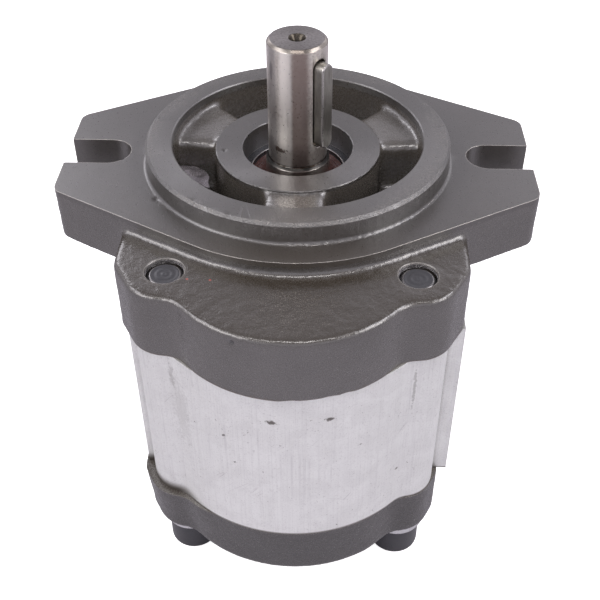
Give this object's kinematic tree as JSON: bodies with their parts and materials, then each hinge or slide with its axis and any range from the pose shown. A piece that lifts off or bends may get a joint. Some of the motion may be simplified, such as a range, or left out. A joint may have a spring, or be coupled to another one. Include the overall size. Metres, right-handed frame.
{
  "type": "hydraulic gear pump",
  "caption": "External gear pump with a round pilot, two-ear mounting flange, keyed drive shaft, iron covers, aluminium gear housing and side ports.",
  "frame": {"origin": "centre of the pilot at the flange's mounting face", "axes": "+Z along the output end of the drive shaft, out of the mounting face; +X towards the outlet port; the driven gear lies towards -Y"},
  "size_m": [0.1272, 0.1205, 0.1412],
  "materials": {
    "iron_casting": "satin coated grey-brown iron, machined on the mounting side and as cast elsewhere",
    "extruded_aluminium": "plain extruded aluminium with fine streaks along its length",
    "ground_steel": "ground and hardened steel",
    "key_steel": "drawn key steel",
    "seal_case_metal": "dark pressed steel",
    "seal_rubber": "brown-red fluoroelastomer",
    "spring_steel": "coiled spring wire",
    "ring_steel": "phosphated spring steel",
    "bearing_aluminium": "machined bearing aluminium",
    "black_rubber": "black nitrile rubber",
    "backup_plastic": "off-white plastic",
    "bush_bronze": "lined bronze bush",
    "dowel_steel": "ground pin steel",
    "black_bolt_steel": "black oxide on steel",
    "washer_steel": "bright zinc plate"
  },
  "bodies": {
    "pump_body": {"front_cover": "iron_casting", "rear_cover": "iron_casting", "gear_housing": "extruded_aluminium", "shaft_seal_case": "seal_case_metal", "shaft_seal_lip": "seal_rubber", "seal_garter_spring": "spring_steel", "seal_retaining_ring": "ring_steel", "front_bearing_block": "bearing_aluminium", "rear_bearing_block": "bearing_aluminium", "front_balance_seal": "black_rubber", "rear_balance_seal": "black_rubber", "front_backup_ring": "backup_plastic", "rear_backup_ring": "backup_plastic", "front_drive_bush": "bush_bronze", "front_driven_bush": "bush_bronze", "rear_drive_bush": "bush_bronze", "rear_driven_bush": "bush_bronze", "front_dowel_pins": "dowel_steel", "rear_dowel_pins": "dowel_steel", "front_body_seal": "black_rubber", "rear_body_seal": "black_rubber", "through_bolts": "black_bolt_steel", "bolt_washers": "washer_steel"},
    "drive_shaft": {"drive_gear_shaft": "ground_steel", "shaft_key": "key_steel"},
    "driven_shaft": {"driven_gear_shaft": "ground_steel"}
  },
  "joints": [
    {"name": "drive_shaft_spin", "type": "hinge", "parent": "pump_body", "child": "drive_shaft", "pos_m": [0, 0, 0], "axis": [0, 0, 1], "continuous": true},
    {"name": "driven_gear_spin", "type": "hinge", "parent": "pump_body", "child": "driven_shaft", "pos_m": [0, -0.0385, -0.04985], "axis": [0, 0, 1], "continuous": true}
  ],
  "couplings": [
    {"joint": "driven_gear_spin", "follows": "drive_shaft_spin", "ratio": -1}
  ]
}
